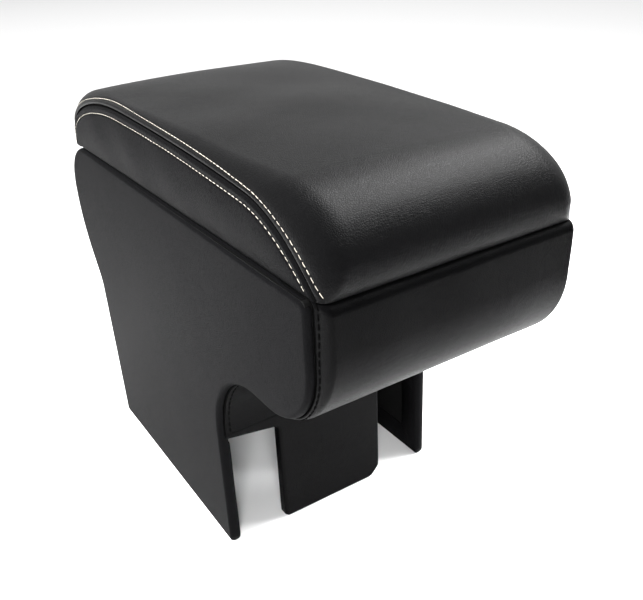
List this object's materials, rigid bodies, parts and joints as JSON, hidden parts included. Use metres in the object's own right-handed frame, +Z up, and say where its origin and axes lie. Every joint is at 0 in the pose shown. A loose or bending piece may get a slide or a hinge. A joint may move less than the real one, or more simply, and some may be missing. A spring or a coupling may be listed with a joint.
{
  "type": "car centre armrest",
  "caption": "Leather-covered car centre armrest box on two side legs and a central tongue, with a padded hinged lid over a felt-lined compartment.",
  "frame": {"origin": "bottom centre of the bounding box, on the surface that the feet stand on", "axes": "+X to the right side, +Y towards the back with the hinges, +Z up; the nose points to -Y"},
  "size_m": [0.16, 0.336, 0.2675],
  "materials": {
    "leather": "fine-grained black faux leather with a soft satin gloss",
    "board": "raw plywood",
    "foam": "soft polyurethane foam",
    "felt": "charcoal needle felt",
    "steel": "zinc-plated steel",
    "hinge_steel": "dark plated steel",
    "rubber": "soft black rubber",
    "thread": "cream sewing thread"
  },
  "bodies": {
    "box": {"left_side_board": "board", "right_side_board": "board", "tongue_board": "board", "nose_panel": "board", "back_board": "board", "floor_board": "board", "left_batten": "board", "right_batten": "board", "front_rail": "board", "rear_rail": "board", "nose_pad": "foam", "nose_cover": "leather", "tongue_cover": "leather", "left_side_cover": "leather", "right_side_cover": "leather", "back_cover": "leather", "floor_lining": "felt", "left_lining": "felt", "right_lining": "felt", "front_lining": "felt", "back_lining": "felt", "board_screws": "steel", "left_fixed_leaf": "hinge_steel", "right_fixed_leaf": "hinge_steel", "left_hinge_pin": "steel", "right_hinge_pin": "steel", "fixed_leaf_screws": "steel", "catch_magnet": "steel", "bumpers": "rubber"},
    "lid": {"lid_board": "board", "lid_foam": "foam", "lid_top_cover": "leather", "lid_left_gusset": "leather", "lid_right_gusset": "leather", "lid_lining": "felt", "left_lid_leaf": "hinge_steel", "right_lid_leaf": "hinge_steel", "lid_leaf_screws": "steel", "strike_plate": "steel", "strike_screw": "steel"}
  },
  "joints": [
    {"name": "lid_hinge", "type": "hinge", "parent": "box", "child": "lid", "pos_m": [0, 0.144, 0.22275], "axis": [-1, 0, 0], "range_deg": [0, 100]}
  ]
}
